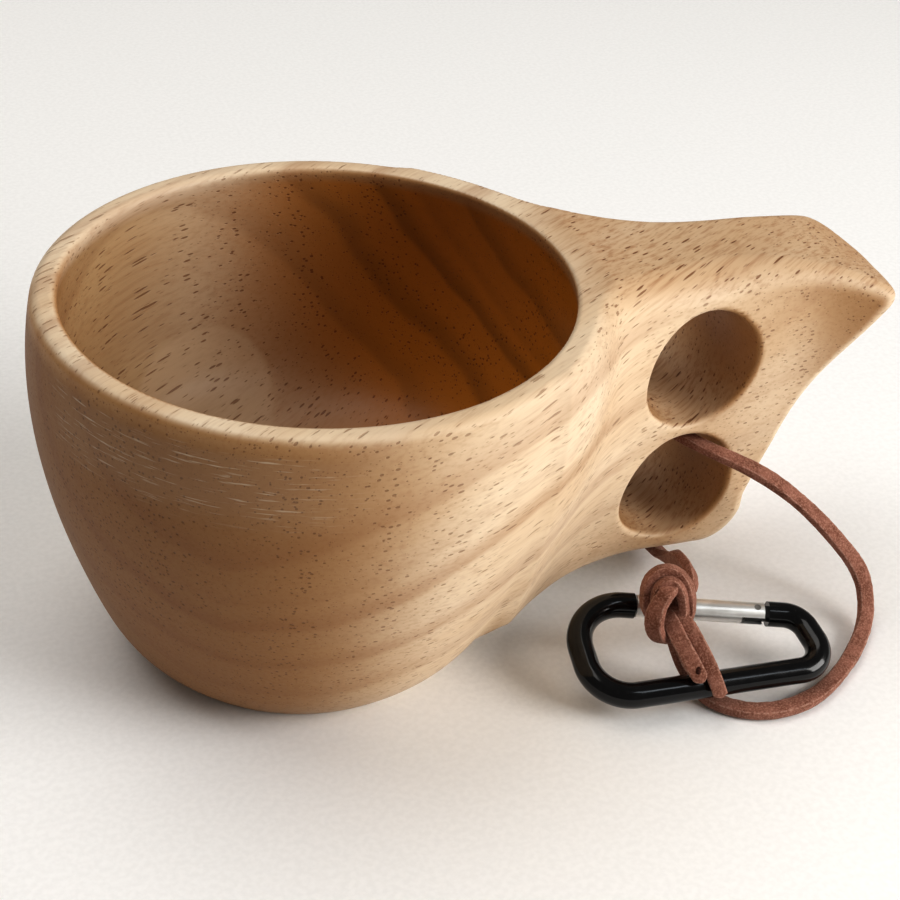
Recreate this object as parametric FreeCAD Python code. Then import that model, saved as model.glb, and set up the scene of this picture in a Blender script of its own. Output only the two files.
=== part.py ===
import FreeCAD, Part
import math
import os

# Two-finger wooden cup (kuksa) with a suede lace and a small snap hook.
# Millimetres. The origin is the centre of the flat base, +Z is up and the handle points along +X.

V = FreeCAD.Vector

# ---- cup: driving dimensions ----
RIM_HEIGHT = 72.5
RIM_OUTER_R = 48.6
RIM_INNER_R = 44.0
RIM_LEAN_X = 2.7            # the hand-carved bowl leans: the rim's centre is off the base's centre
RIM_LEAN_Y = -1.4
BASE_R = 30.0
FLOOR_THICKNESS = 21.0
BLANK_MARGIN = 4.0          # the turned blanks run past the faces that trim them

HANDLE_MID_Y = RIM_LEAN_Y   # middle plane of the handle
HANDLE_ROOT_X = 28.5        # the handle's blank starts inside the bowl's wall
HANDLE_BLANK_WIDTH = 100.0
FINGER_R = 12.0
FINGER_UPPER = (72.0, 51.4)     # (x, z) of the two finger holes' axes
FINGER_LOWER = (70.4, 24.7)

# ---- lace ----
LACE_D = 2.6                # round section that stands for a 3.1 x 1.9 mm suede strip
KNOT_CENTRE = V(59.3, -36.5, 16.6)
KNOT_SEMI_AXES = V(4.9, 5.6, 4.2)

# ---- snap hook (carabiner): drawn flat in (u, v), then tilted into place ----
ROD_D = 4.8
HOOK_TILT_DEG = 17.0        # its gate side is propped up by the lace
HOOK_YAW_DEG = -4.4
HOOK_ORIGIN = V(45.5, -46.3, 5.6)
GATE_D = 4.2
GATE_BORE_D = 2.5
GATE_BORE_LENGTH = 13.5
GATE_GAP = 0.35             # between the gate's ends and the rod's ends
NOSE = V(9.4, 18.4, 0)      # rod's end at the latch
HEEL = V(34.4, 12.6, 0)     # rod's end at the hinge
TONGUE_THICKNESS = 1.5
SLOT_WIDTH = 2.1
TONGUE_HEIGHT = 2.6
TONGUE_PAST_PIN = 2.0
NOSE_TONGUE_HEIGHT = 1.8
TONGUE_ROOT = 1.5           # how far each tongue runs into the rod
PIN_FROM_HEEL = 1.9         # the hinge pin's distance from the rod's end
PIN_FROM_NOSE = 1.9
EARS_PAST_PIN = 1.4         # short enough to turn without meeting the rod's end
NOTCH_WIDTH = 1.8           # the gate's notch that takes the latch pin
NOTCH_DEPTH = 0.85          # past the gate's centreline
NOSE_SLOT_LENGTH = 1.6      # past the latch pin
NOSE_SLOT_DEPTH = 1.2       # past the gate's centreline
HINGE_PIN_D = 1.2
PIN_CLEARANCE = 0.05        # radial, between the hinge pin and the gate's ears
LATCH_PIN_D = 1.2
PLUNGER_D = 2.3
PLUNGER_LENGTH = 3.0
PLUNGER_FROM_TONGUE = 0.42  # drawn pushed in, where the open gate's tongue puts it
SPRING_CLEARANCE = 0.12
SPRING_END_GAP = 0.02
SPRING_WIRE_D = 0.35
SPRING_TURNS = 9


def save(shape, node):
    if not shape.isValid():
        print("INVALID", node)
    print("%-18s volume %9.2f mm3, solids %d" % (node, shape.Volume, len(shape.Solids)))
    shape.exportStep("parts/%s.step" % node)


def spline(points):
    curve = Part.BSplineCurve()
    curve.interpolate(points)
    return curve.toShape()


def turned(poles, below, above):
    """Solid of revolution about Z under a curve of (r, z) poles, carried straight past its ends."""
    curve = Part.BSplineCurve()
    curve.buildFromPoles([V(r, 0, z) for r, z in poles], False, 3)
    first_r, first_z = poles[0]
    last_r, last_z = poles[-1]
    corners = [V(last_r, 0, last_z)]
    if above:
        corners.append(V(last_r, 0, last_z + above))
    corners.append(V(0, 0, last_z + above))
    corners.append(V(0, 0, first_z - below))
    if below:
        corners.append(V(first_r, 0, first_z - below))
    corners.append(V(first_r, 0, first_z))
    edges = [Part.makeLine(a, b) for a, b in zip(corners, corners[1:])]
    face = Part.Face(Part.Wire([curve.toShape()] + edges))
    return face.revolve(V(0, 0, 0), V(0, 0, 1), 360)


def leaned(shape):
    """Shift each level sideways in proportion to its height, as the bowl leans."""
    m = FreeCAD.Matrix()
    m.A13 = RIM_LEAN_X / RIM_HEIGHT
    m.A23 = RIM_LEAN_Y / RIM_HEIGHT
    return shape.transformGeometry(m)


def bowl_outside():
    poles = [(BASE_R, 0), (35.5, 5.5), (38.9, 9.5), (52.6, 52.0), (RIM_OUTER_R, RIM_HEIGHT)]
    blank = leaned(turned(poles, BLANK_MARGIN, 0))
    size = 4 * RIM_OUTER_R
    return blank.cut(Part.makeBox(size, size, 2 * BLANK_MARGIN, V(-size / 2, -size / 2, -2 * BLANK_MARGIN)))


def bowl_inside():
    poles = [(14, FLOOR_THICKNESS), (36, FLOOR_THICKNESS), (45.3, 38), (47.2, 56), (RIM_INNER_R, RIM_HEIGHT)]
    return leaned(turned(poles, 0, BLANK_MARGIN))


# Half-thickness of the handle at these distances along X, at six heights from below the table
# up to past the rim: it flares into the bowl, narrows to a waist and opens to a lip at the tip.
SIDE_X = [32.5, 40.5, 48.5, 56.5, 64.5, 72.5, 80.5, 88.5, 96.5, 104.5, 116.5]
SIDE_LEVELS = {
    -4: [19.0, 13.6, 10.6, 9.2, 8.6, 8.6, 8.4, 8.0, 7.8, 7.8, 7.8],
    8: [23.8, 18.0, 13.5, 11.2, 10.4, 10.7, 10.6, 9.8, 9.0, 9.0, 9.0],
    25: [30.5, 24.3, 18.6, 15.2, 13.2, 12.4, 11.7, 10.7, 9.8, 9.2, 9.0],
    44: [36.0, 30.0, 22.8, 17.4, 14.4, 13.0, 12.2, 11.2, 10.4, 10.6, 12.0],
    60: [39.0, 32.0, 23.2, 17.6, 14.9, 13.6, 12.8, 12.2, 12.2, 13.8, 17.6],
    74: [37.5, 29.5, 20.4, 15.4, 12.2, 9.6, 8.6, 9.2, 11.0, 13.8, 18.0],
}
FAR_FULLER = {25: 3.0, 44: 3.0, 60: 3.0}    # the far side is left thicker around the finger holes


def handle_side(sign):
    """Everything on the inner side of one carved side surface of the handle."""
    rows = []
    for z in sorted(SIDE_LEVELS):
        extra = FAR_FULLER.get(z, 0) if sign > 0 else 0
        rows.append([V(x, HANDLE_MID_Y + sign * (half + extra), z) for x, half in zip(SIDE_X, SIDE_LEVELS[z])])
    surface = Part.BSplineSurface()
    surface.interpolate(rows)
    return surface.toShape().extrude(V(0, -sign * HANDLE_BLANK_WIDTH, 0))


def handle():
    top = [V(52.5, 0, RIM_HEIGHT), V(64.5, 0, 70.8), V(77.5, 0, 70.1), V(89.5, 0, 69.3), V(99.5, 0, 67.4),
           V(108.5, 0, 64.3), V(113.6, 0, 61.0)]
    end = [V(113.6, 0, 61.0), V(106.2, 0, 50.6), V(98.7, 0, 40.6), V(92.5, 0, 29.5), V(88.3, 0, 18.0)]
    low = [V(78.3, 0, 7.4), V(62.5, 0, 7.5), V(48.5, 0, 6.6), V(38.5, 0, 6.6), V(HANDLE_ROOT_X, 0, 8.5)]
    corner = Part.Arc(end[-1], V(85.5, 0, 10.2), low[0]).toShape()
    outline = Part.Wire([
        Part.makeLine(V(HANDLE_ROOT_X, 0, RIM_HEIGHT), top[0]),
        spline(top),
        spline(end),
        corner,
        spline(low),
        Part.makeLine(low[-1], V(HANDLE_ROOT_X, 0, RIM_HEIGHT)),
    ])
    blank = Part.Face(outline).extrude(V(0, HANDLE_BLANK_WIDTH, 0))
    blank.translate(V(0, HANDLE_MID_Y - HANDLE_BLANK_WIDTH / 2, 0))
    return blank.common(handle_side(-1)).common(handle_side(1))


def finger_hole(centre):
    x, z = centre
    start = V(x, HANDLE_MID_Y - HANDLE_BLANK_WIDTH / 2, z)
    return Part.makeCylinder(FINGER_R, HANDLE_BLANK_WIDTH, start, V(0, 1, 0))


def cup_body():
    solid = bowl_outside().fuse(handle()).removeSplitter()
    solid = solid.cut(bowl_inside())
    for centre in (FINGER_UPPER, FINGER_LOWER):
        solid = solid.cut(finger_hole(centre))
    return solid


# ---- rounded routes: straight runs joined by tangent arcs ----

def bend_radius(before, corner, after):
    a = (before - corner)
    b = (after - corner)
    turn = math.pi - a.getAngle(b)
    return 0.45 * min(a.Length, b.Length) / math.tan(turn / 2)


def rounded_route(points, radii):
    """Wire through the corner points, each inner corner replaced by an arc of its radius."""
    edges = []
    start = points[0]
    for i in range(1, len(points) - 1):
        to_before = (points[i - 1] - points[i]).normalize()
        to_after = (points[i + 1] - points[i]).normalize()
        half_turn = (math.pi - to_before.getAngle(to_after)) / 2
        cut_back = radii[i - 1] * math.tan(half_turn)
        arc_in = points[i] + to_before * cut_back
        arc_out = points[i] + to_after * cut_back
        inward = (to_before + to_after).normalize()
        middle = points[i] + inward * (radii[i - 1] / math.cos(half_turn) - radii[i - 1])
        if start.distanceToPoint(arc_in) > 1e-6:
            edges.append(Part.LineSegment(start, arc_in).toShape())
        edges.append(Part.Arc(arc_in, middle, arc_out).toShape())
        start = arc_out
    edges.append(Part.LineSegment(start, points[-1]).toShape())
    return Part.Wire(edges)


def tube(wire, diameter):
    """Round rod swept along a wire."""
    first = wire.Edges[0]
    start = first.valueAt(first.FirstParameter)
    along = first.tangentAt(first.FirstParameter)
    section = Part.Wire([Part.makeCircle(diameter / 2, start, along)])
    return wire.makePipeShell([section], True, True)


def lace(points, node):
    radii = [bend_radius(*points[i - 1:i + 2]) for i in range(1, len(points) - 1)]
    wire = rounded_route(points, radii)
    solid = tube(wire, LACE_D)
    ideal = wire.Length * math.pi * LACE_D ** 2 / 4
    print("%s: length %.1f, volume ratio %.4f" % (node, wire.Length, solid.Volume / ideal))
    print("  bend radii in lace diameters", [round(r / LACE_D, 1) for r in radii])
    return solid


# The loop leaves the knot over the gate, runs under the handle, climbs behind it, comes through
# the lower finger hole to the front, falls to the table in a wide bow, passes under the hook's
# straight side and comes up inside the hook to the knot again.
LOOP_ROUTE = [
    V(63.0, -33.4, 16.5),
    V(70.0, -25.4, 14.5),
    V(76.0, -16.9, 7.0),
    V(75.0, -5.9, 2.6),
    V(72.5, 8.1, 2.2),
    V(70.0, 20.1, 4.5),
    V(68.3, 25.6, 9.5),
    V(67.8, 26.1, 16.5),
    V(68.1, 21.4, 23.0),
    V(70.0, 9.6, 28.0),
    V(72.0, -1.9, 31.8),
    V(75.3, -13.4, 33.1),
    V(85.0, -20.4, 30.0),
    V(93.5, -25.4, 23.5),
    V(101.0, -29.4, 15.0),
    V(104.8, -31.2, 9.5),
    V(105.4, -33.8, 4.4),
    V(102.9, -38.2, 1.5),
    V(94.5, -46.4, 1.4),
    V(83.5, -53.4, 1.3),
    V(72.5, -54.4, 1.4),
    V(65.0, -49.4, 1.3),
    V(62.8, -42.5, 1.6),
    V(61.7, -43.3, 9.8),
    V(59.7, -38.4, 14.5),
]
TAIL_SHORT_ROUTE = [V(58.5, -38.4, 17.0), V(59.1, -44.4, 15.0), V(60.3, -50.1, 12.0)]
TAIL_LONG_ROUTE = [V(61.0, -36.9, 17.0), V(63.1, -45.9, 14.6), V(60.9, -55.5, 10.6)]


def knot():
    ball = Part.makeSphere(1.0)
    m = FreeCAD.Matrix()
    m.scale(KNOT_SEMI_AXES)
    m.move(KNOT_CENTRE)
    return ball.transformGeometry(m)


# ---- snap hook ----

def hook_placement():
    tilt = FreeCAD.Rotation(V(1, 0, 0), HOOK_TILT_DEG)
    yaw = FreeCAD.Rotation(V(0, 0, 1), HOOK_YAW_DEG)
    return FreeCAD.Placement(HOOK_ORIGIN, yaw * tilt)


def gate_axis():
    """Unit vector along the gate, from the hinge to the latch."""
    return (NOSE - HEEL).normalize()


def hinge_point():
    return HEEL + gate_axis() * (PIN_FROM_HEEL + GATE_GAP)


def gate_box(x0, x1, y0, y1, thickness):
    """Box in the gate's own frame: X runs from the hinge pin to the latch and Y points into the hook."""
    along = gate_axis()
    angle = math.degrees(math.atan2(along.y, along.x))
    box = Part.makeBox(x1 - x0, y1 - y0, thickness, V(x0, y0, -thickness / 2))
    box.Placement = FreeCAD.Placement(hinge_point(), FreeCAD.Rotation(V(0, 0, 1), angle))
    return box


def gate_length():
    """From the hinge pin to the rod's end at the nose."""
    return (NOSE - hinge_point()).Length


def cylinder_along(x0, x1, diameter):
    along = gate_axis()
    return Part.makeCylinder(diameter / 2, x1 - x0, hinge_point() + along * x0, along)


def cross_pin(x, diameter, length):
    centre = hinge_point() + gate_axis() * x
    return Part.makeCylinder(diameter / 2, length, centre - V(0, 0, length / 2), V(0, 0, 1))


def hook_frame():
    corners = [NOSE, V(-3.2, 21.3, 0), V(-3.4, -0.4, 0), V(42.6, -0.4, 0), V(40.4, 11.2, 0), HEEL]
    rod = tube(rounded_route(corners, [8.6, 7.6, 5.0, 4.6]), ROD_D)
    heel_half = TONGUE_HEIGHT / 2
    nose_half = NOSE_TONGUE_HEIGHT / 2
    latch = gate_length() - PIN_FROM_NOSE
    heel_start = -PIN_FROM_HEEL - TONGUE_ROOT
    nose_end = gate_length() + TONGUE_ROOT
    heel_tongue = gate_box(heel_start, TONGUE_PAST_PIN, -heel_half, heel_half, TONGUE_THICKNESS)
    nose_tongue = gate_box(latch - 1, nose_end, -nose_half, nose_half, TONGUE_THICKNESS)
    solid = rod.fuse(heel_tongue).fuse(nose_tongue)
    solid = solid.cut(cross_pin(0, HINGE_PIN_D, 2 * ROD_D))
    return solid.cut(cross_pin(latch, LATCH_PIN_D, 2 * ROD_D))


def gate():
    first = -EARS_PAST_PIN
    last = gate_length() - GATE_GAP
    latch = gate_length() - PIN_FROM_NOSE
    slot_start = latch - NOSE_SLOT_LENGTH
    notch_half = NOTCH_WIDTH / 2
    solid = cylinder_along(first, last, GATE_D)
    solid = solid.cut(cylinder_along(TONGUE_PAST_PIN, TONGUE_PAST_PIN + GATE_BORE_LENGTH, GATE_BORE_D))
    solid = solid.cut(gate_box(first - 1, TONGUE_PAST_PIN + 0.9, -GATE_D, GATE_D, SLOT_WIDTH))
    solid = solid.cut(cross_pin(0, HINGE_PIN_D + 2 * PIN_CLEARANCE, 2 * GATE_D))
    solid = solid.cut(gate_box(slot_start, last + 1, -GATE_D, NOSE_SLOT_DEPTH, SLOT_WIDTH))
    return solid.cut(gate_box(latch - notch_half, latch + notch_half, -GATE_D, NOTCH_DEPTH, 2 * GATE_D))


def plunger():
    start = TONGUE_PAST_PIN + PLUNGER_FROM_TONGUE
    return cylinder_along(start, start + PLUNGER_LENGTH, PLUNGER_D)


def spring():
    """Compression spring between the plunger and the bottom of the gate's bore."""
    wire_r = SPRING_WIRE_D / 2
    start = TONGUE_PAST_PIN + PLUNGER_FROM_TONGUE + PLUNGER_LENGTH + wire_r + SPRING_END_GAP
    stop = TONGUE_PAST_PIN + GATE_BORE_LENGTH - wire_r - SPRING_END_GAP
    radius = GATE_BORE_D / 2 - wire_r - SPRING_CLEARANCE
    helix = Part.makeHelix((stop - start) / SPRING_TURNS, stop - start, radius)
    section = Part.Wire([Part.makeCircle(wire_r, V(radius, 0, 0), V(0, 1, 0))])
    coil = Part.Wire(helix.Edges).makePipeShell([section], True, True)
    along = gate_axis()
    coil.Placement = FreeCAD.Placement(hinge_point() + along * start, FreeCAD.Rotation(V(0, 0, 1), along))
    return coil


def in_place(shape):
    shape = shape.copy()
    shape.Placement = hook_placement().multiply(shape.Placement)
    return shape


os.makedirs("parts", exist_ok=True)
save(cup_body(), "cup_body")
save(lace(LOOP_ROUTE, "lace_loop"), "lace_loop")
save(lace(TAIL_SHORT_ROUTE, "lace_tail_short"), "lace_tail_short")
save(lace(TAIL_LONG_ROUTE, "lace_tail_long"), "lace_tail_long")
save(knot(), "lace_knot")
save(in_place(hook_frame()), "carabiner_frame")
save(in_place(gate()), "carabiner_gate")
save(in_place(cross_pin(0, HINGE_PIN_D, GATE_D - 0.2)), "gate_hinge_pin")
save(in_place(cross_pin(gate_length() - PIN_FROM_NOSE, LATCH_PIN_D, GATE_D - 0.4)), "gate_latch_pin")
save(in_place(plunger()), "gate_plunger")
save(in_place(spring()), "gate_spring")
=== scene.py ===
import math
import bpy
import numpy as np
from mathutils import Matrix, Vector


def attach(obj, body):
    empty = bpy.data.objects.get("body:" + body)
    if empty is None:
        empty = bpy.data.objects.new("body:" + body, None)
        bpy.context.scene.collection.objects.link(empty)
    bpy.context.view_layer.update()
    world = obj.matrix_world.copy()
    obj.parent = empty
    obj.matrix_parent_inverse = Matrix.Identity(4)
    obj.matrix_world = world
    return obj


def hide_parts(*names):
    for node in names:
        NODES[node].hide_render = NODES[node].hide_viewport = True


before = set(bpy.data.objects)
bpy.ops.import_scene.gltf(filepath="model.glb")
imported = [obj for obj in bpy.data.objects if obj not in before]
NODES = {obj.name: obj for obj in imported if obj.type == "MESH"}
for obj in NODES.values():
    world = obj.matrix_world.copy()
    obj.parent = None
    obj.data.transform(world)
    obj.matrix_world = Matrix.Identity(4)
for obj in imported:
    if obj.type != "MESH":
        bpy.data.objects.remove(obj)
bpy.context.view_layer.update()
MM = 0.001          # shapes below are written in millimetres, lights and textures in metres


# ---------------------------------------------------------------- camera

def unit(v):
    v = np.asarray(v, float)
    return v / np.linalg.norm(v)


CAMERA_AT = np.array([-76.2, -260.5, 223.3])
FOCAL_LENGTH, SENSOR_WIDTH = 72.0, 36.0
AHEAD = unit([0.3096, 0.7662, -0.5631])
RIGHT = unit([0.939, -0.3398, 0.0538])
UP = np.cross(RIGHT, AHEAD)

cam_data = bpy.data.cameras.new("camera")
cam_data.lens = FOCAL_LENGTH
cam_data.sensor_width = SENSOR_WIDTH
cam_data.clip_start = 0.01
camera = bpy.data.objects.new("camera", cam_data)
turn = Matrix([[RIGHT[i], UP[i], -AHEAD[i]] for i in range(3)]).to_quaternion()
camera.matrix_world = Matrix.Translation(Vector(CAMERA_AT * MM)) @ turn.to_matrix().to_4x4()
bpy.context.scene.collection.objects.link(camera)
bpy.context.scene.camera = camera


# ---------------------------------------------------------------- mesh helpers

def mesh_object(name, verts, faces, normals=None, smooth=True):
    """Mesh object from millimetre vertices, with custom normals if they are given."""
    mesh = bpy.data.meshes.new(name)
    mesh.from_pydata((np.asarray(verts) * MM).tolist(), [], [list(f) for f in faces])
    mesh.update()
    if smooth:
        mesh.polygons.foreach_set("use_smooth", [True] * len(mesh.polygons))
    if normals is not None:
        mesh.normals_split_custom_set_from_vertices(normals.tolist())
    obj = bpy.data.objects.new(name, mesh)
    bpy.context.scene.collection.objects.link(obj)
    return obj


def nurbs_line(points, resolution=14):
    """Points along the smooth line of an order 3 NURBS spline, in millimetres."""
    curve = bpy.data.curves.new("route", "CURVE")
    curve.dimensions = "3D"
    curve.resolution_u = resolution
    spline = curve.splines.new("NURBS")
    spline.points.add(len(points) - 1)
    for point, co in zip(spline.points, points):
        point.co = (*(np.asarray(co) * MM), 1.0)
    spline.order_u = 3
    spline.use_endpoint_u = True
    obj = bpy.data.objects.new("route", curve)
    bpy.context.scene.collection.objects.link(obj)
    mesh = bpy.data.meshes.new_from_object(obj)
    line = np.array([v.co[:] for v in mesh.vertices]) / MM
    bpy.data.objects.remove(obj)
    bpy.data.meshes.remove(mesh)
    return line


def resample(line, step, closed=False):
    """The same line at even steps."""
    if closed:
        line = np.vstack([line, line[:1]])
    lengths = np.r_[0, np.cumsum(np.linalg.norm(np.diff(line, axis=0), axis=1))]
    count = max(8, int(round(lengths[-1] / step)))
    at = np.linspace(0, lengths[-1], count + 1)
    if closed:
        at = at[:-1]
    return np.stack([np.interp(at, lengths, line[:, i]) for i in range(3)], axis=1)


def smooth_noise(rng, count, spacing, closed=False):
    """Slow random wander of about unit size along a line."""
    knots = max(3, int(count / spacing))
    values = rng.normal(size=knots + 1)
    if closed:
        values[-1] = values[0]
    x = np.linspace(0, knots, count)
    i = np.minimum(x.astype(int), knots - 1)
    t = x - i
    t = t * t * (3 - 2 * t)
    return values[i] * (1 - t) + values[i + 1] * t


STRAP_RING = 20             # points around a strap's section
STRAP_CORNER = 0.34         # power of the section's superellipse: 1 is an ellipse, 0 a box
STRAP_UNEVEN = 0.045, 0.05  # share by which the width and the thickness wander
STRAP_FUZZ = 0.03           # roughness of the cut edges


def strap_mesh(line, face_dirs, width, thickness, seed, closed=False, round_end=0.6):
    """Flat strip of soft-cornered section along a line.

    face_dirs point out of its wide face; an open strip narrows over its last round_end millimetres.
    """
    rng = np.random.default_rng(seed)
    n = len(line)
    if closed:
        along = np.roll(line, -1, axis=0) - np.roll(line, 1, axis=0)
    else:
        along = np.gradient(line, axis=0)
    along /= np.linalg.norm(along, axis=1)[:, None]
    face = face_dirs - along * (face_dirs * along).sum(1)[:, None]
    face /= np.linalg.norm(face, axis=1)[:, None]
    side = np.cross(along, face)
    ring = STRAP_RING
    angles = np.linspace(0, 2 * np.pi, ring, endpoint=False)
    sx = np.sign(np.cos(angles)) * np.abs(np.cos(angles)) ** STRAP_CORNER
    sy = np.sign(np.sin(angles)) * np.abs(np.sin(angles)) ** STRAP_CORNER
    wide = width / 2 * (1 + STRAP_UNEVEN[0] * smooth_noise(rng, n, 9, closed))
    thick = thickness / 2 * (1 + STRAP_UNEVEN[1] * smooth_noise(rng, n, 7, closed))
    verts = np.empty((n, ring, 3))
    edge_fuzz = rng.normal(size=(n, ring)) * STRAP_FUZZ
    scale = np.ones(n)
    if not closed:
        steps = np.linalg.norm(np.diff(line, axis=0), axis=1)
        s = np.r_[0, np.cumsum(steps)]
        near = np.minimum(s, s[-1] - s) / round_end
        scale = np.sqrt(np.clip(1 - (1 - np.clip(near, 0, 1)) ** 2, 0.05, 1))
    for k in range(ring):
        out = side * (sx[k] * wide * scale + edge_fuzz[:, k] * np.sign(sx[k]))[:, None]
        up = face * (sy[k] * thick * (0.35 + 0.65 * scale) + edge_fuzz[:, k] * 0.6)[:, None]
        verts[:, k] = line + out + up
    faces = []
    rows = n if closed else n - 1
    for i in range(rows):
        a, b = i * ring, ((i + 1) % n) * ring
        for k in range(ring):
            m = (k + 1) % ring
            faces.append((a + k, a + m, b + m, b + k))
    if not closed:
        faces.append(tuple(range(ring))[::-1])
        faces.append(tuple((n - 1) * ring + k for k in range(ring)))
    return verts.reshape(-1, 3), faces


def mark_edges(piece):
    """Store how near each point of a strap lies to one of its four long edges."""
    # lighter fuzzy cut edges, partly a painted highlight
    edge_light = np.sin(2 * np.linspace(0, 2 * np.pi, STRAP_RING, endpoint=False)) ** 2
    edge_light = np.tile(edge_light, len(piece.data.vertices) // STRAP_RING).astype(np.float32)
    piece.data.attributes.new("lit_fuzzy_edge", "FLOAT", "POINT").data.foreach_set("value", edge_light)


# ---------------------------------------------------------------- lace: the loop is the cord

LOOP_ROUTE = [
    # from inside the knot, down and under the handle
    (61.4, -34.8, 16.6), (63.6, -33.4, 16.2), (66.6, -32.4, 15.2), (67.9, -28.0, 16.4), (68.4, -21.6, 14.4),
    (71.2, -15.8, 8.0), (73.2, -6.9, 3.0), (72.5, 8.1, 2.2),
    # up the far side and back through the lower finger hole
    (70.0, 20.1, 4.5), (68.3, 25.6, 9.5), (67.8, 26.1, 16.5), (68.1, 21.4, 23.0), (70.0, 9.6, 28.0),
    (72.0, -1.9, 31.8),
    # out of the hole and down to the table in a large arc
    (75.3, -13.4, 33.1), (85.0, -20.4, 30.0), (93.5, -25.4, 23.5), (101.0, -29.4, 15.0), (104.8, -31.2, 9.5),
    (105.4, -33.8, 4.4), (102.9, -38.2, 1.5),
    # along the table, under the hook's front bar and up through the hook into the knot
    (94.5, -46.4, 1.4), (83.5, -53.4, 1.3), (72.5, -54.4, 1.4), (65.0, -49.4, 1.3), (62.8, -42.5, 1.6),
    (59.4, -42.9, 9.4), (58.9, -38.4, 14.5),
]
LOOP_FACES = [  # share of the length, and the way that the strip's wide face looks there
    (0.00, (0.5, -0.8, 0.3)), (0.06, (0.6, -0.6, 0.5)), (0.12, (0.3, -0.6, 0.7)), (0.19, (0, 0, 1)),
    (0.26, (0, 0.3, 1)), (0.33, (0, 1, 0.2)), (0.40, (0, 0.7, 0.7)), (0.46, (0.1, -0.2, 1)),
    (0.55, (0.15, -0.35, 1)), (0.64, (0.2, -0.9, 0.75)), (0.70, (0.05, -1, 0.45)), (0.75, (-0.3, -0.55, 0.9)),
    (0.82, (0, -0.1, 1)), (0.92, (0, -0.1, 1)), (0.945, (0.4, -0.3, 0.8)), (1.00, (0.3, -0.9, 0.1)),
]
LACE_WIDTH, LACE_THICKNESS, LACE_SEED = 3.0, 1.9, 3
LACE_STEP = 0.7             # between sections of the loop
KNOT_STEP = 0.5             # the same for the knot and the tails


def hinted_faces(line, hints):
    """Face directions along a line, blended between hints of (share of the length, direction)."""
    share = np.linspace(0, 1, len(line))
    at = [hint[0] for hint in hints]
    dirs = np.array([unit(hint[1]) for hint in hints])
    return np.stack([np.interp(share, at, dirs[:, i]) for i in range(3)], axis=1)


loop_line = resample(nurbs_line(LOOP_ROUTE), LACE_STEP)
verts, faces = strap_mesh(loop_line, hinted_faces(loop_line, LOOP_FACES), LACE_WIDTH, LACE_THICKNESS, LACE_SEED)
lace = mesh_object("lace_strip", verts, faces)
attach(lace, "cup")
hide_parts("lace_loop")


# ---------------------------------------------------------------- knot and tails

# all drawn about the knot's middle, in the camera's axes: right, up and towards the camera
KNOT_AT = np.array([59.3, -36.5, 16.6])
KNOT_AXES = np.stack([RIGHT, UP, -AHEAD])


def on_knot(points):
    """The knot's own coordinates turned into the object's."""
    return KNOT_AT + np.asarray(points, float) @ KNOT_AXES


def closed_line(points):
    """Smooth closed line through its control points (quadratic B-spline)."""
    p = np.asarray(points, float)
    out = []
    for a, b, c in zip(np.roll(p, 1, axis=0), p, np.roll(p, -1, axis=0)):
        for t in np.linspace(0, 1, 12, endpoint=False):
            out.append((a + b) / 2 * (1 - t) ** 2 + b * 2 * t * (1 - t) + (b + c) / 2 * t * t)
    return np.array(out)


KNOT_TURNS = {  # width, how far the wide face looks sideways (1 is straight away from the middle), and points
    "knot_outer_turn": (2.5, 1.0, [
        (-4.4, -0.6, 0.4), (-4.3, 3.2, 1.0), (-2.2, 6.0, 1.4), (1.0, 6.2, 1.6), (3.5, 3.6, 1.8),
        (4.2, -0.6, 1.4), (3.4, -4.4, -0.8), (0.8, -4.2, -3.2), (-1.0, 0.8, -3.6), (-3.4, -2.2, -2.4)]),
    "knot_inner_turn": (2.5, 1.0, [
        (-2.9, -0.6, 1.4), (-2.5, 2.6, 2.4), (-0.8, 4.2, 2.8), (1.4, 3.9, 2.8), (2.6, 1.2, 2.6),
        (3.0, -2.8, 1.6), (1.8, -4.4, -0.6), (0.2, -1.4, -2.0), (-1.2, 0.4, -1.2)]),
    "knot_front_turn": (3.4, 0.9, [
        (0.2, 3.0, 2.6), (-0.8, 2.0, 4.6), (-2.5, -0.4, 4.8), (-3.2, -3.4, 4.2), (-2.3, -6.3, 2.6),
        (-0.3, -6.7, 1.4), (1.4, -3.2, -1.2), (1.2, 0.4, -2.8), (1.2, 3.0, -1.2)]),
}
KNOT_THICKNESS, KNOT_SEED = 1.7, 11

knot_pieces = []
for index, (name, (wide, sideways, points)) in enumerate(KNOT_TURNS.items()):
    line = resample(closed_line(points), KNOT_STEP, closed=True)
    away = line - line.mean(axis=0)
    away[:, 0] *= sideways
    verts, faces = strap_mesh(on_knot(line), away @ KNOT_AXES, wide, KNOT_THICKNESS, KNOT_SEED + index,
                              closed=True)
    piece = mesh_object(name, verts, faces)
    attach(piece, "cup")
    knot_pieces.append(piece)
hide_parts("lace_knot")

TAILS = {  # the CAD's node, width, length of the rounded end, and points
    "tail_short": ("lace_tail_short", 3.1, 1.5, [
        (-0.8, -1.6, 0.4), (0.2, -3.2, 2.4), (1.4, -6.2, 4.2), (3.3, -9.8, 5.2), (5.6, -14.0, 5.6)]),
    "tail_long": ("lace_tail_long", 2.7, 0.3, [
        (0.2, -0.6, 0.4), (2.6, -2.8, 2.6), (4.7, -6.3, 3.2), (7.0, -10.8, 4.2), (9.1, -16.8, 5.0)]),
}
TAIL_THICKNESS, TAIL_SEED = 1.6, 31
TAIL_FACE = np.array([-0.12, 0.2, 1.0]) @ KNOT_AXES

for index, (name, (node, wide, rounded, points)) in enumerate(TAILS.items()):
    line = resample(nurbs_line(on_knot(points)), KNOT_STEP)
    out = np.tile(TAIL_FACE, (len(line), 1))
    verts, faces = strap_mesh(line, out, wide, TAIL_THICKNESS, TAIL_SEED + index, round_end=rounded)
    piece = mesh_object(name, verts, faces)
    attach(piece, "cup")
    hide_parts(node)
    knot_pieces.append(piece)

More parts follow.
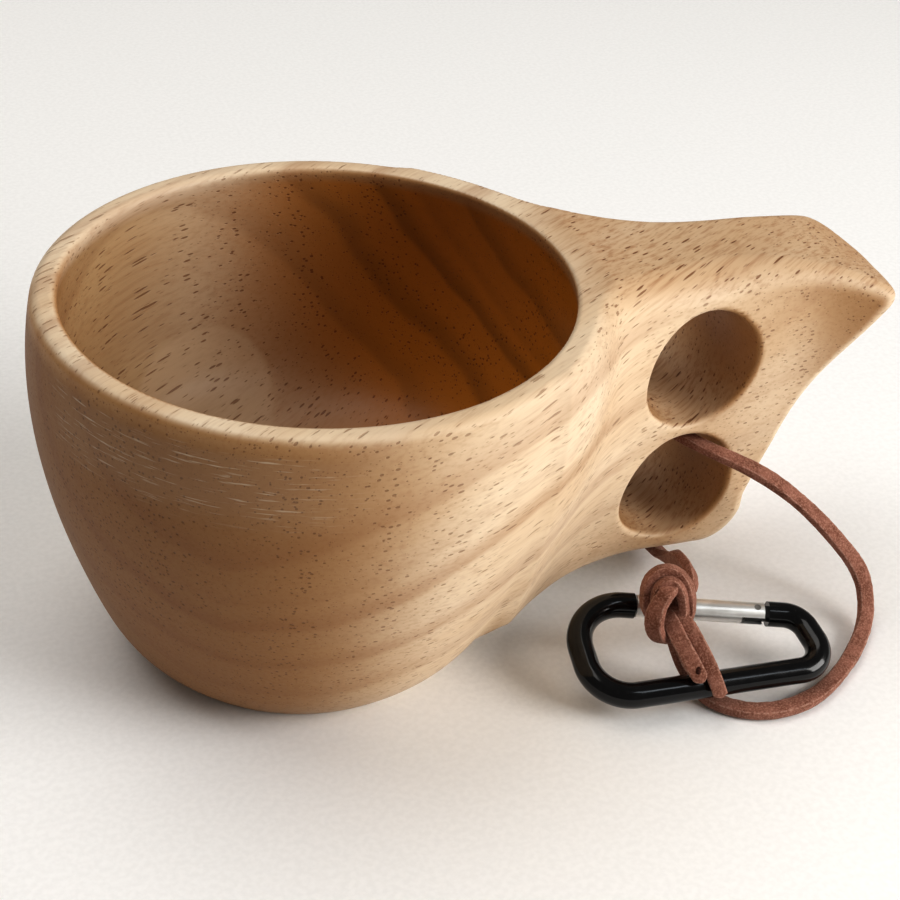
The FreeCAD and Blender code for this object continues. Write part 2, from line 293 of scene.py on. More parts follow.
# the short tail's slit: a small dark lens on its face, of two shallow cones on one oval ring
SLIT_AT, SLIT_HALF_SIZE = np.array([4.75, -12.0, 6.20]), (0.55, 0.95)
SLIT_OUT, SLIT_IN = 0.15, 0.3
SLIT_RING = 24
slit_turn = np.linspace(0, 2 * np.pi, SLIT_RING, endpoint=False)
slit_ring = np.stack([SLIT_HALF_SIZE[0] * np.cos(slit_turn), SLIT_HALF_SIZE[1] * np.sin(slit_turn),
                      np.zeros(SLIT_RING)], axis=1)
slit_points = np.vstack([slit_ring + SLIT_AT, SLIT_AT + (0, 0, SLIT_OUT), SLIT_AT - (0, 0, SLIT_IN)])
slit_faces = []
for k in range(SLIT_RING):
    following = (k + 1) % SLIT_RING
    slit_faces += [(k, following, SLIT_RING), (following, k, SLIT_RING + 1)]
slit = mesh_object("tail_slit", on_knot(slit_points), slit_faces)
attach(slit, "cup")
knot_pieces.append(slit)

HOOK_NODES = ("carabiner_frame", "carabiner_gate", "gate_hinge_pin", "gate_latch_pin", "gate_plunger",
              "gate_spring")


# ---------------------------------------------------------------- cup: tools for its shape


def bspline(poles, samples=400):
    """Points on the clamped cubic B-spline with one inner knot that carries five poles."""
    p = np.asarray(poles, float)
    knots = np.array([0, 0, 0, 0, 0.5, 1, 1, 1, 1.0])
    t = np.linspace(0, 1 - 1e-9, samples)
    basis = [np.where((t >= knots[i]) & (t < knots[i + 1]), 1.0, 0.0) for i in range(8)]
    for degree in (1, 2, 3):
        raised = []
        for i in range(8 - degree):
            left = knots[i + degree] - knots[i]
            right = knots[i + degree + 1] - knots[i + 1]
            value = np.zeros_like(t)
            if left:
                value = value + (t - knots[i]) / left * basis[i]
            if right:
                value = value + (knots[i + degree + 1] - t) / right * basis[i + 1]
            raised.append(value)
        basis = raised
    return np.stack(basis[:5], axis=1) @ p


def natural_spline(x, y, at):
    """Natural cubic spline through (x, y)."""
    x, y = np.asarray(x, float), np.asarray(y, float)
    n = len(x)
    h = np.diff(x)
    a = np.eye(n)
    b = np.zeros(n)
    for i in range(1, n - 1):
        a[i, i - 1], a[i, i], a[i, i + 1] = h[i - 1], 2 * (h[i - 1] + h[i]), h[i]
        b[i] = 6 * ((y[i + 1] - y[i]) / h[i] - (y[i] - y[i - 1]) / h[i - 1])
    m = np.linalg.solve(a, b)
    at = np.clip(at, x[0], x[-1])
    i = np.clip(np.searchsorted(x, at) - 1, 0, n - 2)
    u, v = at - x[i], x[i + 1] - at
    return (m[i] * v ** 3 + m[i + 1] * u ** 3) / (6 * h[i]) + (y[i] / h[i] - m[i] * h[i] / 6) * v \
        + (y[i + 1] / h[i] - m[i + 1] * h[i] / 6) * u


class Table:
    """Values on an even grid, read between its points."""

    def __init__(self, lo, hi, step, values):
        self.lo, self.step = lo, step
        xs = np.arange(lo[0], hi[0] + step, step)
        ys = np.arange(lo[1], hi[1] + step, step)
        gx, gy = np.meshgrid(xs, ys, indexing="ij")
        self.v = values(gx, gy)

    def __call__(self, x, y):
        i = np.clip((x - self.lo[0]) / self.step, 0, self.v.shape[0] - 1.001)
        j = np.clip((y - self.lo[1]) / self.step, 0, self.v.shape[1] - 1.001)
        a, b = i.astype(int), j.astype(int)
        s, t = i - a, j - b
        v = self.v
        return (v[a, b] * (1 - s) + v[a + 1, b] * s) * (1 - t) + (v[a, b + 1] * (1 - s) + v[a + 1, b + 1] * s) * t


def beyond(line, length):
    """Point that far past a line's last point, straight on."""
    last = line[-1] - line[-2]
    return line[-1] + last / np.linalg.norm(last) * length


def outline_distance(poly):
    """Signed distance to a closed outline, negative inside."""
    poly = np.asarray(poly, float)
    ends = np.roll(poly, -1, axis=0)

    def distance(x, y):
        best = np.full(x.shape, 1e9)
        inside = np.zeros(x.shape, bool)
        for (ax, ay), (bx, by) in zip(poly, ends):
            dx, dy = bx - ax, by - ay
            t = np.clip(((x - ax) * dx + (y - ay) * dy) / max(dx * dx + dy * dy, 1e-12), 0, 1)
            best = np.minimum(best, (x - ax - t * dx) ** 2 + (y - ay - t * dy) ** 2)
            if ay != by:
                inside ^= ((ay > y) != (by > y)) & (x < (bx - ax) * (y - ay) / (by - ay) + ax)
        return np.where(inside, -1.0, 1.0) * np.sqrt(best)
    return distance


def round_max(a, b, r):
    """The part that two shapes share, with the edge between them rounded to radius r."""
    return np.minimum(np.maximum(a, b), -r) + np.hypot(np.maximum(a + r, 0), np.maximum(b + r, 0))


def round_min(a, b, r):
    """Two shapes joined, with the corner between them filled to radius r."""
    return -round_max(-a, -b, r)


def rising(value, start, stop):
    """0 at start and before it, 1 at stop and past it, straight between; stop may be below start."""
    return np.clip((value - start) / (stop - start), 0, 1)


# ---------------------------------------------------------------- cup: outlines

RIM_Z = 72.5
LEAN = np.array([2.7, -1.4]) / RIM_Z    # how far the turned bowl leans for each millimetre of height
MID_Y = -1.4                            # the handle's middle plane
BASE_R, FLOOR_Z = 30, 21
GRID = 0.25                             # step of the outline tables

# the bowl as it would be turned: radius and height
BOWL_OUTSIDE = [(BASE_R, 0), (35.5, 5.5), (38.9, 9.5), (52.6, 52.0), (48.7, RIM_Z)]
BOWL_INSIDE = [(14, FLOOR_Z), (36, FLOOR_Z), (45.3, 38), (47.2, 56), (44, RIM_Z)]


def turned_table(poles):
    """Distance to a turned shape that goes on above the rim and past its own axis."""
    side = bspline(poles, 120)
    above = beyond(side, 12)
    return Table((0, -6), (80, 84), GRID, outline_distance(
        [(-30, poles[0][1]), *side, above, (-30, above[1])]))


bowl_table = turned_table(BOWL_OUTSIDE)
cavity_table = turned_table(BOWL_INSIDE)

# the handle from the side, x and z: its top, sloped end, lower corner and underside
TOP_X, TOP_Z = [52.5, 64.5, 77.5, 89.5, 99.5, 108.5, 114.6], [72.5, 70.8, 70.1, 69.3, 67.4, 64.3, 61.0]
END_Z, END_X = [18.0, 29.5, 40.6, 50.6, 60.8], [88.3, 92.5, 98.9, 106.8, 114.6]
CORNER_AT, CORNER_R = (79.4, 16.4), (9.2, 9.1)
LOW_X, LOW_Z = [28.5, 38.5, 48.5, 62.5, 79.0], [8.5, 6.6, 6.6, 7.5, 7.4]

xs = np.linspace(TOP_X[0], TOP_X[-1], 60)
top = np.stack([xs, natural_spline(TOP_X, TOP_Z, xs)], axis=1)
zs = np.linspace(END_Z[-1], END_Z[0], 40)
end = np.stack([natural_spline(END_Z, END_X, zs), zs], axis=1)
angles = np.radians(np.linspace(-12, -97, 14))
corner = np.stack([CORNER_AT[0] + CORNER_R[0] * np.cos(angles), CORNER_AT[1] + CORNER_R[1] * np.sin(angles)],
                  axis=1)
xs = np.linspace(78.0, LOW_X[0], 30)
low = np.stack([xs, natural_spline(LOW_X, LOW_Z, xs)], axis=1)
handle_table = Table((10, -6), (125, 84), GRID, outline_distance(
    [(LOW_X[0], 110), (140, 110), beyond(end[::-1], 40), *end, *corner, *low]))
top_table = Table((10, 40), (125, 84), GRID, outline_distance(
    [(-90, -90), (-90, RIM_Z), *top, top[-1] + np.array([30, -24]), (140, -90)]))

# the handle's half width by height, at each x of SIDE_X
SIDE_X = [32.5, 40.5, 48.5, 56.5, 64.5, 72.5, 80.5, 88.5, 96.5, 104.5, 116.5]
SIDE_LEVELS = {
    -4: [19.0, 13.6, 10.6, 9.2, 8.6, 8.6, 8.4, 8.0, 7.8, 7.8, 7.8],
    8: [23.8, 18.0, 13.5, 11.2, 10.4, 10.7, 10.6, 9.8, 9.0, 9.0, 9.0],
    25: [30.5, 24.3, 18.6, 15.2, 13.2, 12.4, 11.7, 10.7, 9.8, 9.2, 9.0],
    44: [36.0, 30.0, 22.8, 17.4, 14.4, 13.0, 12.2, 11.2, 10.4, 10.6, 12.0],
    60: [39.0, 32.0, 23.2, 17.6, 14.9, 13.6, 12.8, 12.2, 12.2, 13.8, 17.6],
    74: [37.5, 29.5, 20.4, 15.4, 12.2, 9.6, 8.6, 9.2, 11.0, 13.8, 18.0],
}


def half_width(x, z):
    """The handle's half width on a grid of x and z."""
    levels = sorted(SIDE_LEVELS)
    rows = np.array([natural_spline(SIDE_X, SIDE_LEVELS[level], x[:, 0]) for level in levels])
    return np.array([natural_spline(levels, rows[:, i], z[0]) for i in range(len(x))])


side_table = Table((24, -5), (125, 80), 0.5, half_width)


# ---------------------------------------------------------------- cup: one carved surface

FAR_FULLER = 3.0            # the handle's far side is this much fuller than its near side
TIP_SWEEP = 3.6             # the end's edges lie this far back at SWEEP_AT from the middle plane
SWEEP_AT, SWEEP_HOLD = 14, 20
FAR_EDGE_SOFTER = 3.5       # more rounding on the far edge of the end
FINGER_HOLES, HOLE_R, HOLE_EDGE = ((72.0, 51.4), (70.4, 24.7)), 12.0, 1.1

# radii of the rounded edges, each against z or x
END_EDGE = [12, 30, 45, 60], [3.2, 1.6, 2.2, 3.0]
BOWL_BLEND = [8, 26], [6.0, 4.0]
NEAR_TOP_EDGE = [28, 42, 55, 75, 92, 108], [1.5, 3.6, 5.5, 5.5, 4.2, 3.6]
FAR_TOP_EDGE = [45, 62, 90, 108], [1.5, 1.4, 1.6, 2.4]
MOUTH_EDGE = [15, 42], [1.6, 0.8]


def handle_distance(x, y, z):
    """The handle without its top face and holes."""
    from_mid = y - MID_Y
    across = np.abs(from_mid)
    along = rising(x, 40, 62)
    fuller = FAR_FULLER * rising(z, 4, 20) * rising(z, 70, 60) * rising(from_mid, 0, 4)
    half = side_table(x, z) + fuller * along ** 2 * (3 - 2 * along)
    slope_x = side_table(x + 0.5, z) - side_table(x - 0.5, z)
    slope_z = side_table(x, z + 0.5) - side_table(x, z - 0.5)
    side = (across - half) / np.sqrt(1 + slope_x ** 2 + slope_z ** 2)

    swept = TIP_SWEEP * (np.minimum(across, SWEEP_HOLD) / SWEEP_AT) ** 2.2
    tip = handle_table(x + swept * rising(z, 30, 60) * rising(x, 70, 95), z)
    softer = FAR_EDGE_SOFTER * (rising(from_mid, 0, 6) * rising(x, 80, 95))
    return round_max(side, tip, np.interp(z, *END_EDGE) + softer)


def cup_distance(p):
    """Roughly the distance to the cup's surface, negative in the wood."""
    x, y, z = p[:, 0], p[:, 1], p[:, 2]
    r = np.hypot(x - LEAN[0] * z, y - LEAN[1] * z)
    solid = round_min(bowl_table(r, z), handle_distance(x, y, z), np.interp(z, *BOWL_BLEND))
    far_round = np.interp(x, *FAR_TOP_EDGE)
    near_round = np.interp(x, *NEAR_TOP_EDGE)
    top_round = far_round + (near_round - far_round) * rising(MID_Y - y, -3, 3)
    solid = round_max(solid, top_table(x, z), top_round)
    solid = round_max(solid, -cavity_table(r, z), np.interp(x, *MOUTH_EDGE))
    for hole_x, hole_z in FINGER_HOLES:
        solid = round_max(solid, HOLE_R - np.hypot(x - hole_x, z - hole_z), HOLE_EDGE)
    return solid


def distance_slope(p, step=0.25):
    """How cup_distance changes along each axis."""
    slope = np.empty_like(p)
    for i in range(3):
        shift = np.zeros(3)
        shift[i] = step
        slope[:, i] = (cup_distance(p + shift) - cup_distance(p - shift)) / (2 * step)
    return slope


def surface_net(lo, hi, step):
    """Quads over the zero surface of cup_distance: one point per grid cell that it crosses."""
    axes = [np.arange(a, b + step, step) for a, b in zip(lo, hi)]
    field = np.empty([len(a) for a in axes], np.float32)
    yy, zz = np.meshgrid(axes[1], axes[2], indexing="ij")
    for i, x in enumerate(axes[0]):
        p = np.stack([np.full(yy.size, x), yy.ravel(), zz.ravel()], axis=1)
        field[i] = cup_distance(p).reshape(yy.shape)
    solid = field < 0

    # cells with some corners in the wood and some out of it
    corners = [(i, j, k) for i in (0, 1) for j in (0, 1) for k in (0, 1)]
    shape = [s - 1 for s in field.shape]
    count = np.zeros(shape, np.int8)
    for c in corners:
        count += solid[c[0]:c[0] + shape[0], c[1]:c[1] + shape[1], c[2]:c[2] + shape[2]]
    active = (count > 0) & (count < 8)
    cells = np.argwhere(active)
    index = np.full(shape, -1, np.int64)
    index[active] = np.arange(len(cells))

    # each cell's point: the mean of where the surface cuts the cell's edges
    at = {c: field[cells[:, 0] + c[0], cells[:, 1] + c[1], cells[:, 2] + c[2]] for c in corners}
    total = np.zeros((len(cells), 3))
    hits = np.zeros(len(cells))
    for a in corners:
        for axis in range(3):
            if a[axis]:
                continue
            b = tuple(v + (i == axis) for i, v in enumerate(a))
            cut = (at[a] < 0) != (at[b] < 0)
            gap = np.where(cut, at[a] - at[b], 1.0)
            t = np.where(cut, at[a] / gap, 0.0)
            place = np.tile(np.array(a, float), (len(cells), 1))
            place[:, axis] = t
            total += place * cut[:, None]
            hits += cut
    verts = (cells + total / hits[:, None]) * step + np.array([a[0] for a in axes])

    # one quad around each grid edge that the surface cuts
    quads = []
    for axis in range(3):
        u, v = [i for i in range(3) if i != axis]
        low_side = [slice(None)] * 3
        high_side = [slice(None)] * 3
        low_side[axis], high_side[axis] = slice(0, -1), slice(1, None)
        change = solid[tuple(low_side)] != solid[tuple(high_side)]
        edges = np.argwhere(change)
        edges = edges[(edges[:, u] > 0) & (edges[:, u] < shape[u]) & (edges[:, v] > 0) & (edges[:, v] < shape[v])]
        ring = []
        for du, dv in ((1, 1), (0, 1), (0, 0), (1, 0)):
            c = edges.copy()
            c[:, u] -= du
            c[:, v] -= dv
            ring.append(index[c[:, 0], c[:, 1], c[:, 2]])
        ring = np.stack(ring, axis=1)
        outward = solid[edges[:, 0], edges[:, 1], edges[:, 2]]
        if axis == 1:
            outward = ~outward
        ring[~outward] = ring[~outward][:, ::-1]
        quads.append(ring)
    return verts, np.vstack(quads)


CUP_LO, CUP_HI, CUP_STEP = (-52, -56, -1.5), (115, 53, 74), 0.75
verts, quads = surface_net(CUP_LO, CUP_HI, CUP_STEP)
for _ in range(3):  # draw the points onto the surface itself
    slope = distance_slope(verts)
    verts = verts - (cup_distance(verts) / np.maximum((slope ** 2).sum(1), 0.2))[:, None] * slope
verts[:, 2] = np.maximum(verts[:, 2], 0.0)  # the flat base
slope = distance_slope(verts, 0.3)
normals = slope / np.linalg.norm(slope, axis=1)[:, None]
cup = mesh_object("carved_cup", verts, quads.tolist(), normals)
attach(cup, "cup")
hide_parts("cup_body")


# ---------------------------------------------------------------- materials

class Nodes:
    """Small helper that adds nodes to a material."""

    def __init__(self, name):
        self.mat = bpy.data.materials.new(name)
        self.mat.use_nodes = True
        self.tree = self.mat.node_tree
        self.shader = self.tree.nodes["Principled BSDF"]

    def add(self, kind, values=None, **settings):
        """New node; values go to its inputs and may be other nodes' outputs."""
        node = self.tree.nodes.new(kind)
        for key, value in settings.items():
            setattr(node, key, value)
        for key, value in (values or {}).items():
            socket = node.inputs[key]
            if isinstance(value, bpy.types.NodeSocket):
                self.tree.links.new(value, socket)
            else:
                socket.default_value = value
        return node

    def set(self, **values):
        """Inputs of the material's shader."""
        for key, value in values.items():
            socket = self.shader.inputs[key.replace("_", " ")]
            if isinstance(value, bpy.types.NodeSocket):
                self.tree.links.new(value, socket)
            else:
                socket.default_value = value

    def ramp(self, fac, stops):
        """Eased ramp through stops of (place, grey or colour)."""
        node = self.add("ShaderNodeValToRGB", {"Fac": fac})
        ramp = node.color_ramp
        ramp.interpolation = "EASE"
        while len(ramp.elements) < len(stops):
            ramp.elements.new(0.5)
        for element, (place, color) in zip(ramp.elements, stops):
            element.position = place
            element.color = (color,) * 3 + (1,) if isinstance(color, float) else (*color, 1)
        return node.outputs["Color"]

    def mix(self, fac, a, b, blend="MIX"):
        node = self.add("ShaderNodeMix", data_type="RGBA", blend_type=blend)
        for socket, value in ((node.inputs[0], fac), (node.inputs[6], a), (node.inputs[7], b)):
            if isinstance(value, bpy.types.NodeSocket):
                self.tree.links.new(value, socket)
            elif socket.type == "VALUE":
                socket.default_value = value
            else:
                socket.default_value = (*value, 1)
        return node.outputs[2]

    def span(self, value, start, stop):
        """0 at start and before it, 1 at stop and past it, smooth between; stop may be below start."""
        return self.add("ShaderNodeMapRange", {"Value": value, "From Min": start, "From Max": stop},
                        interpolation_type="SMOOTHSTEP").outputs["Result"]

    def math(self, kind, a, b=0.0, c=0.0):
        return self.add("ShaderNodeMath", {0: a, 1: b, 2: c}, operation=kind).outputs[0]

    def times(self, a, b):
        return self.math("MULTIPLY", a, b)

    def line(self, value, slope, start):
        """start + slope * value"""
        return self.math("MULTIPLY_ADD", value, slope, start)

    def vector(self, kind, a, b=(0, 0, 0)):
        return self.add("ShaderNodeVectorMath", {0: a, 1: b}, operation=kind).outputs

    def object_place(self):
        return self.add("ShaderNodeTexCoord").outputs["Object"]

    def parts(self, vector):
        return self.add("ShaderNodeSeparateXYZ", {0: vector}).outputs

    def noise(self, vector, scale, detail=2.0, rough=0.5):
        return self.add("ShaderNodeTexNoise", {"Vector": vector, "Scale": scale, "Detail": detail,
                                               "Roughness": rough}).outputs["Fac"]

    def fibres(self, scale, location=(0, 0, 0)):
        """Object coordinates turned so that X runs along the fibres, then divided by scale."""
        return self.add("ShaderNodeMapping", {
            "Vector": self.object_place(), "Location": location,
            "Rotation": (0, -FIBRE_RISE, math.radians(FIBRE_TURN)), "Scale": scale},
            vector_type="TEXTURE").outputs[0]

    def bump(self, height, distance, strength=1.0, normal=None):
        values = {"Height": height, "Distance": distance, "Strength": strength}
        if normal is not None:
            values["Normal"] = normal
        return self.add("ShaderNodeBump", values).outputs[0]


FIBRE_TURN, FIBRE_RISE = 32.0, 0.10         # degrees about Z from X, and radians up from there
PITH_AT = (-0.025, 0.085)                   # the tree's middle, across the fibres

WOOD_PALE = (0.745, 0.62, 0.465)
WOOD_TAN = (0.67, 0.515, 0.35)
WOOD_END = (0.41, 0.222, 0.088)             # end grain
WOOD_BAND = (0.30, 0.125, 0.040)            # late wood of the growth rings
# oiled inside of the bowl, with painted shade
WOOD_OIL_AND_SHADE = (0.45, 0.160, 0.008)
# painted shade for the bowl's left side
WOOD_LEFT_SHADE = (0.58, 0.45, 0.27)             # this one and the next darken what they lie on
WOOD_PORE = (0.40, 0.26, 0.17)
WOOD_SCRATCH = (0.62, 0.52, 0.40)
GROWTH_BANDS = [  # distance from the pith in decimetres, and how dark the wood is there
    (0.0, 0.1), (0.12, 0.0), (0.20, 0.35), (0.225, 0.0), (0.27, 0.05), (0.328, 0.75), (0.342, 0.05),
    (0.375, 0.02), (0.405, 0.3), (0.42, 0.03), (0.466, 0.95), (0.482, 0.06), (0.53, 0.08), (0.578, 0.85),
    (0.596, 0.1), (0.63, 0.15), (0.68, 0.6), (0.695, 0.05), (0.80, 0.5), (0.82, 0.0), (1.0, 0.2)]
PORE_SIZE, SMALL_PORE_SIZE = (0.0100, 0.00088, 0.00088), (0.0070, 0.00062, 0.00062)


def growth_bands(n):
    """0 to 1 in rings about the pith, which runs along the fibres."""
    turn = math.radians(FIBRE_TURN)
    pith = (-math.sin(turn) * PITH_AT[0], math.cos(turn) * PITH_AT[0], PITH_AT[1])
    across = n.parts(n.fibres((1, 1, 1), pith))
    flat = n.add("ShaderNodeCombineXYZ", {1: across[1], 2: across[2]}).outputs[0]
    warp = n.math("SUBTRACT", n.noise(n.fibres((0.09, 0.03, 0.03)), 1.0, 2.0), 0.5)
    ring = n.line(warp, 0.012, n.vector("LENGTH", flat)["Value"])
    return n.ramp(n.math("DIVIDE", ring, 0.1), GROWTH_BANDS)


def wood():
    n = Nodes("rubberwood")
    turn = math.radians(FIBRE_TURN)
    fibre = (math.cos(turn), math.sin(turn), FIBRE_RISE)
    coords = n.add("ShaderNodeTexCoord").outputs
    place = n.parts(coords["Object"])
    facing = n.parts(coords["Normal"])
    radius = n.math("SQRT", n.line(place[0], place[0], n.times(place[1], place[1])))
    outward = n.math("DIVIDE", n.line(facing[0], place[0], n.times(facing[1], place[1])),
                     n.math("ADD", radius, 0.0001))

    # masks: end grain, the handle's top face, the inside of the bowl below its rounded edge
    along_fibre = n.vector("DOT_PRODUCT", coords["Normal"], fibre)["Value"]
    endness = n.span(n.math("ABSOLUTE", along_fibre), 0.22, 0.82)
    upward = n.times(n.span(facing[2], 0.35, 0.9), n.span(place[0], 0.044, 0.054))
    inner = n.math("SUBTRACT", n.math("MAXIMUM", facing[2], 0.0), outward)
    inner = n.times(n.span(inner, 0.25, 0.75), n.span(radius, 0.0490, 0.0478))
    inner = n.times(inner, n.span(place[2], 0.0712, 0.0690))

    # ground tone, end grain, a darker top face on the handle, growth bands (weaker in the handle) and fine fibres
    tone = n.noise(n.fibres((0.10, 0.016, 0.016)), 1.0, 3.0)
    fine = n.noise(n.fibres((0.016, 0.0007, 0.0007)), 1.0, 2.0, 0.6)
    bands = growth_bands(n)
    base = n.mix(n.span(tone, 0.3, 0.7), WOOD_PALE, WOOD_TAN)
    base = n.mix(n.times(endness, 0.95), base, WOOD_END)
    base = n.mix(n.times(upward, 0.42), base, WOOD_END)
    base = n.mix(n.times(bands, n.line(n.span(place[0], 0.045, 0.070), -0.26, 0.40)), base, WOOD_BAND)
    base = n.mix(n.times(n.span(fine, 0.40, 0.80), n.line(upward, 0.35, 0.25)), base, WOOD_BAND)

    # painted shade: the bowl darker away from the handle, on its shaded left side, below the rim
    left_shade = n.times(n.span(place[0], 0.014, -0.036), n.span(place[2], 0.0715, 0.0680))
    base = n.mix(n.times(left_shade, 0.85), base, n.mix(1.0, base, WOOD_LEFT_SHADE, "MULTIPLY"))

    # the oiled inside of the bowl, darkened further by painted shade that deepens towards the handle's side,
    # where the wall lies in shadow
    inside_shade = n.line(n.span(place[0], -0.014, 0.033), 0.88, 0.05)
    oil_and_shade = n.mix(bands, WOOD_OIL_AND_SHADE, tuple(0.6 * c for c in WOOD_OIL_AND_SHADE))
    base = n.mix(n.times(inner, inside_shade), base, oil_and_shade)

    # pale round patch low on the far inside wall
    patch = n.vector("SUBTRACT", coords["Object"], (-0.010, 0.0, 0.029))[0]
    patch = n.vector("LENGTH", n.vector("MULTIPLY", patch, (70.0, 0.0, 88.0))[0])["Value"]
    patch = n.times(n.span(patch, 1.06, 0.92), n.times(inner, n.span(place[1], 0.015, 0.022)))
    base = n.mix(n.times(patch, 0.36), base, WOOD_TAN)

    # pores: long vessels that show as dots on end grain and as dashes along the fibres
    cells = n.add("ShaderNodeTexVoronoi", {"Vector": n.fibres(PORE_SIZE), "Scale": 1.0}).outputs
    limit = n.line(n.parts(cells["Color"])[0], 0.18, 0.06)
    pores = n.span(n.math("SUBTRACT", cells["Distance"], limit), 0.07, -0.03)
    small = n.add("ShaderNodeTexVoronoi", {"Vector": n.fibres(SMALL_PORE_SIZE, (0.3, 0.2, 0.1)), "Scale": 1.0})
    small = n.span(small.outputs["Distance"], 0.22, 0.08)
    shade = n.mix(1.0, base, WOOD_PORE, "MULTIPLY")
    strength = n.line(upward, 0.40, n.line(inner, 0.20, 0.55))
    color = n.mix(n.times(small, 0.50), base, shade)
    color = n.mix(n.times(pores, strength), color, shade)

    # light turning scratches on the bowl's near left side, under the rim
    angle = n.math("ARCTAN2", place[1], place[0])
    turning = n.add("ShaderNodeCombineXYZ", {0: n.times(angle, 7.0), 1: n.times(place[2], 2200.0)}).outputs[0]
    lines = n.span(n.noise(turning, 1.0, 2.0, 0.6), 0.56, 0.72)
    zone = n.times(n.span(place[2], 0.054, 0.062), n.span(place[2], 0.0700, 0.0680))
    zone = n.times(zone, n.times(n.span(angle, -2.95, -2.65), n.span(angle, -1.55, -1.95)))
    zone = n.times(zone, n.span(outward, 0.5, 0.8))
    color = n.mix(n.times(zone, n.line(lines, 0.55, 0.10)), color, WOOD_SCRATCH)

    rough = n.line(fine, 0.14, n.line(inner, -0.10, 0.42))
    n.set(Base_Color=color, Roughness=rough, Specular_IOR_Level=0.28)
    bump = n.bump(fine, 0.00006, 0.5)
    bump = n.bump(n.times(pores, -1.0), 0.00012, 0.7, bump)
    bump = n.bump(n.times(lines, zone), 0.00006, 0.6, bump)
    n.set(Normal=bump)
    return n.mat


def suede():
    n = Nodes("suede")
    coords = n.object_place()
    nap = n.noise(coords, 2600.0, 3.0, 0.7)
    patches = n.noise(coords, 320.0, 2.0)
    color = n.ramp(patches, [(0.3, (0.17, 0.066, 0.041)), (0.7, (0.28, 0.125, 0.088))])
    color = n.mix(n.times(n.span(nap, 0.42, 0.72), 0.75), color, (0.46, 0.255, 0.19))
    color = n.mix(n.times(n.span(nap, 0.42, 0.25), 0.6), color, (0.09, 0.030, 0.018))
    # fuzzy cut edges made lighter along the four long edges: partly the suede's fuzz, partly a painted highlight
    edge = n.add("ShaderNodeAttribute", attribute_name="lit_fuzzy_edge").outputs["Fac"]
    lit_edge = n.times(n.span(edge, 0.55, 0.95), n.span(n.noise(coords, 1500.0, 2.0, 0.6), 0.38, 0.62))
    color = n.mix(n.times(lit_edge, 0.55), color, (0.52, 0.33, 0.26))
    n.set(Base_Color=color, Roughness=0.95, Specular_IOR_Level=0.12, Sheen_Weight=0.30, Sheen_Roughness=0.45,
          Sheen_Tint=(0.80, 0.60, 0.50, 1.0))
    n.set(Normal=n.bump(nap, 0.00012, 0.9))
    return n.mat


def dark_suede():
    """The slit's shadowed inside."""
    n = Nodes("dark_suede")
    nap = n.noise(n.object_place(), 2600.0, 3.0, 0.7)
    color = n.ramp(nap, [(0.35, (0.035, 0.012, 0.008)), (0.65, (0.085, 0.032, 0.022))])
    n.set(Base_Color=color, Roughness=0.95, Specular_IOR_Level=0.1)
    n.set(Normal=n.bump(nap, 0.00010, 0.8))
    return n.mat


def gloss_black():
    n = Nodes("gloss_black")
    coords = n.object_place()
    flow = n.noise(coords, 180.0, 2.0)
    specks = n.ramp(n.noise(coords, 1400.0, 3.0, 0.7), [(0.55, 0.0), (0.75, 1.0)])
    color = n.mix(specks, (0.003, 0.003, 0.0035), (0.010, 0.010, 0.011))
    rough = n.ramp(flow, [(0.3, 0.10), (0.75, 0.24)])
    n.set(Base_Color=color, Roughness=rough, Coat_Weight=0.25, Coat_Roughness=0.06, Specular_IOR_Level=0.28)
    n.set(Normal=n.bump(flow, 0.00010, 0.35))
    return n.mat


GATE_TURN = -17     # degrees about Z from X: the brush marks run along the gate


def gate_metal():
    n = Nodes("gate_metal")
    coords = n.object_place()
    stretch = n.add("ShaderNodeMapping", {
        "Vector": coords, "Rotation": (0, 0, math.radians(GATE_TURN)), "Scale": (0.02, 0.0006, 0.0006)},
        vector_type="TEXTURE").outputs[0]
    brush = n.noise(stretch, 1.0, 3.0, 0.6)
    patches = n.noise(coords, 260.0, 2.0)
    color = n.ramp(patches, [(0.3, (0.80, 0.785, 0.76)), (0.7, (0.93, 0.92, 0.90))])
    n.set(Base_Color=color, Metallic=0.92, Roughness=n.ramp(brush, [(0.3, 0.30), (0.7, 0.42)]))
    n.set(Normal=n.bump(brush, 0.00004, 0.4))
    return n.mat


def plain_steel():
    n = Nodes("plain_steel")
    grain = n.noise(n.object_place(), 1800.0, 2.0)
    n.set(Base_Color=(0.42, 0.41, 0.40, 1), Metallic=1.0, Roughness=n.ramp(grain, [(0.3, 0.28), (0.7, 0.42)]))
    n.set(Normal=n.bump(grain, 0.00003, 0.4))
    return n.mat


def wear(obj, material):
    obj.data.materials.clear()
    obj.data.materials.append(material)


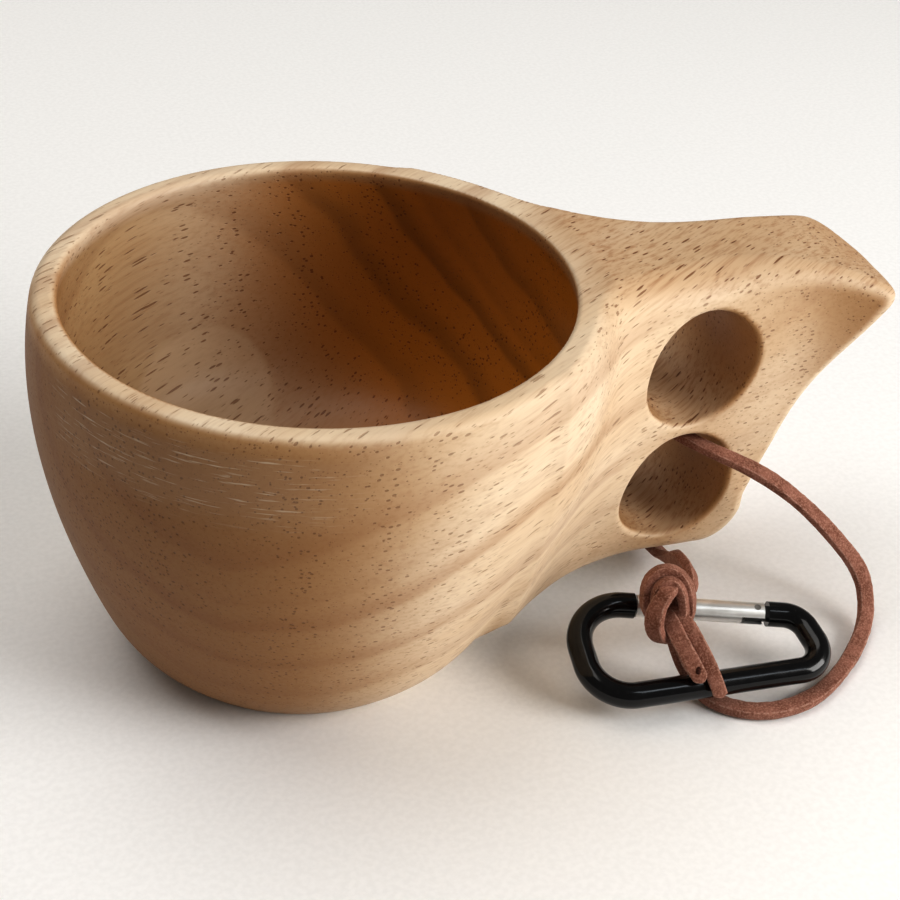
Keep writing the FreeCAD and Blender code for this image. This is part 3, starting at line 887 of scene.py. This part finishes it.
wear(cup, wood())
lace_suede = suede()
for piece in [lace, *knot_pieces]:
    if piece is slit:
        wear(piece, dark_suede())
    else:
        mark_edges(piece)
        wear(piece, lace_suede)

hook_steel = plain_steel()
hook_metals = {"carabiner_frame": gloss_black(), "carabiner_gate": gate_metal()}
for name in HOOK_NODES:
    for material_slot in NODES[name].material_slots:
        material_slot.material = hook_metals.get(name, hook_steel)


# ---------------------------------------------------------------- floor, light

FLOOR_HALF, TABLE_Z = 3000, -0.05    # just below the base, so that the two don't coincide
floor_corners = [(x * FLOOR_HALF, y * FLOOR_HALF, TABLE_Z) for x, y in ((-1, -1), (1, -1), (1, 1), (-1, 1))]
floor = mesh_object("floor", floor_corners, [(0, 1, 2, 3)], smooth=False)
paper = Nodes("paper")
paper_grain = paper.noise(paper.object_place(), 900.0, 2.0)
paper.set(Base_Color=paper.ramp(paper_grain, [(0.3, 0.86), (0.7, 0.90)]), Roughness=0.9)
wear(floor, paper.mat)


def area_light(name, at, target, size, power, color):
    """Soft rectangular light; places and sizes in metres, power in watts."""
    data = bpy.data.lights.new(name, "AREA")
    data.shape = "RECTANGLE"
    data.size, data.size_y = size
    data.energy = power
    data.color = color
    obj = bpy.data.objects.new(name, data)
    obj.location = at
    obj.rotation_euler = (Vector(target) - Vector(at)).to_track_quat("-Z", "Y").to_euler()
    bpy.context.scene.collection.objects.link(obj)


area_light("key", (0.80, -0.62, 0.46), (0.03, 0, 0.03), (0.65, 0.65), 12.5, (1.0, 0.985, 0.96))
area_light("window", (0.42, -0.62, 0.95), (0.06, -0.04, 0), (0.10, 0.45), 0.8, (0.85, 0.93, 1.0))
area_light("fill", (-0.25, 0.3, 1.0), (0, 0, 0.03), (0.9, 0.9), 7.0, (1.0, 0.98, 0.95))

world = bpy.data.worlds.new("studio")
world.use_nodes = True
surroundings = world.node_tree.nodes["Background"].inputs
surroundings["Color"].default_value = (1.0, 0.95, 0.88, 1)
surroundings["Strength"].default_value = 0.22
bpy.context.scene.world = world
bpy.context.scene.view_settings.view_transform = "Standard"
bpy.context.scene.view_settings.gamma = 0.80
